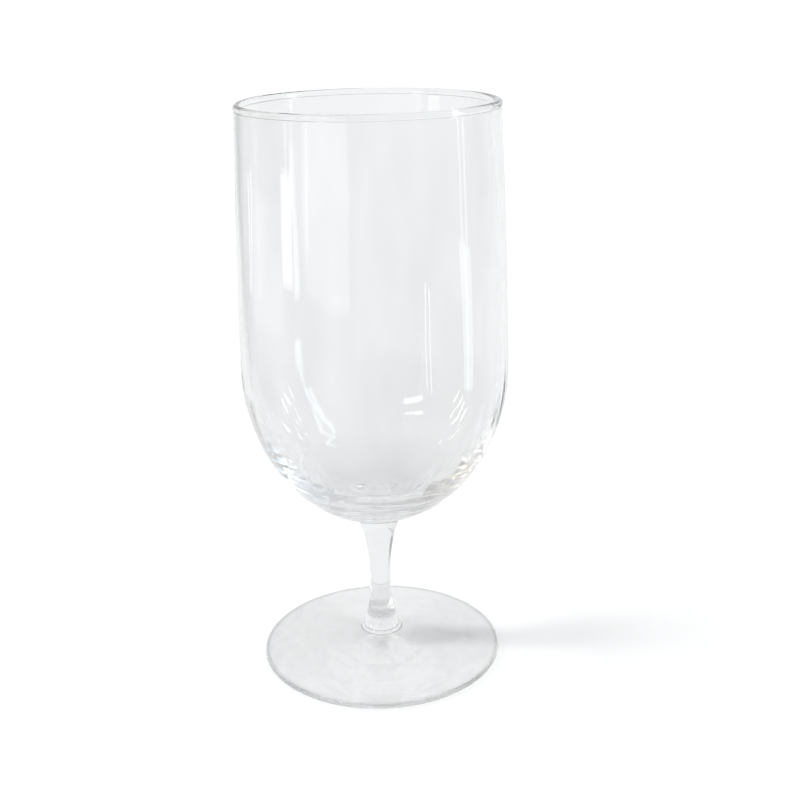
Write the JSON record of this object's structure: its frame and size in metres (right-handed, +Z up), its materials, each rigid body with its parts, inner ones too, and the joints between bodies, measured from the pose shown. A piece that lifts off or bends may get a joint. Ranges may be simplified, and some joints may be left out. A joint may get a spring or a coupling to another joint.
{
  "type": "aperitif glass",
  "caption": "Clear stemmed drinking glass with a tall tulip bowl, thick rounded bottom, short waisted stem and thin round foot, for aperitifs and long cold drinks.",
  "frame": {"origin": "centre of the foot's underside, on the table", "axes": "+Z up along the axis of the glass, from the foot to the rim; X and Y are alike because the glass is turned about Z"},
  "size_m": [0.0764, 0.0764, 0.1655],
  "materials": {
    "clear_glass": "clear soda-lime glass, fire-polished, very slightly wavy"
  },
  "bodies": {
    "root": {"bowl": "clear_glass", "stem": "clear_glass", "foot": "clear_glass"}
  },
  "joints": []
}
